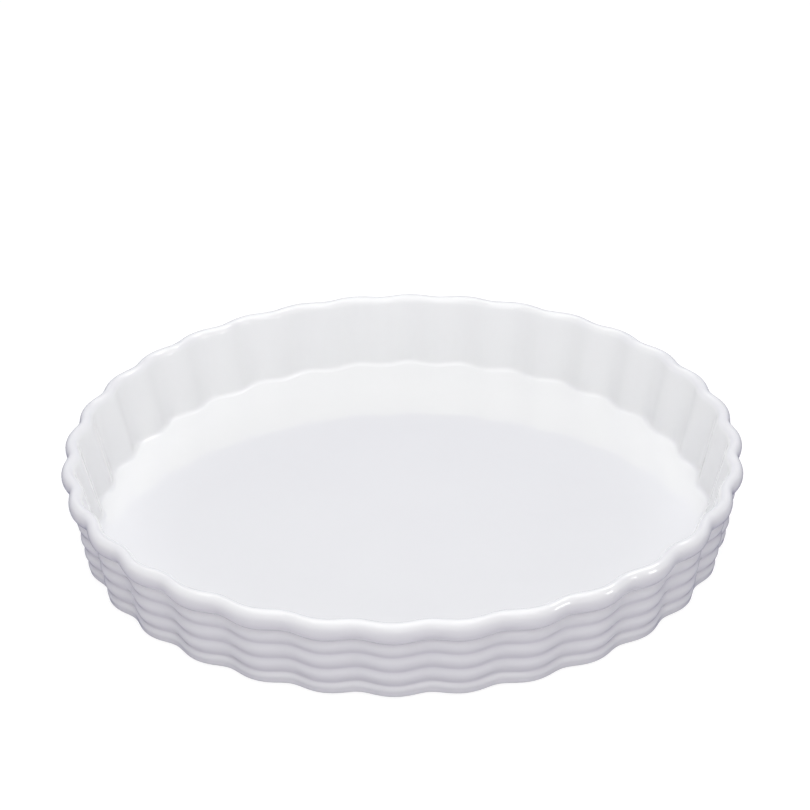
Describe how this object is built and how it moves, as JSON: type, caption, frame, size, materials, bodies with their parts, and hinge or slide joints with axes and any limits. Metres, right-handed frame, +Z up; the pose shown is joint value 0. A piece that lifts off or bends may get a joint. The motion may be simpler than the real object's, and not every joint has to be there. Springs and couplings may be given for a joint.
{
  "type": "fluted quiche dish",
  "caption": "Shallow round fluted quiche dish in white glazed porcelain, with a rolled rim, ribbed outer wall and flat baking floor.",
  "frame": {"origin": "centre of the foot's flat face, which is the lowest plane of the dish", "axes": "+Z up along the dish's round axis, +X through the crest of one flute"},
  "size_m": [0.28, 0.28, 0.0352],
  "materials": {
    "glaze": "gloss"
  },
  "bodies": {
    "root": {"dish_body": "glaze"}
  },
  "joints": []
}
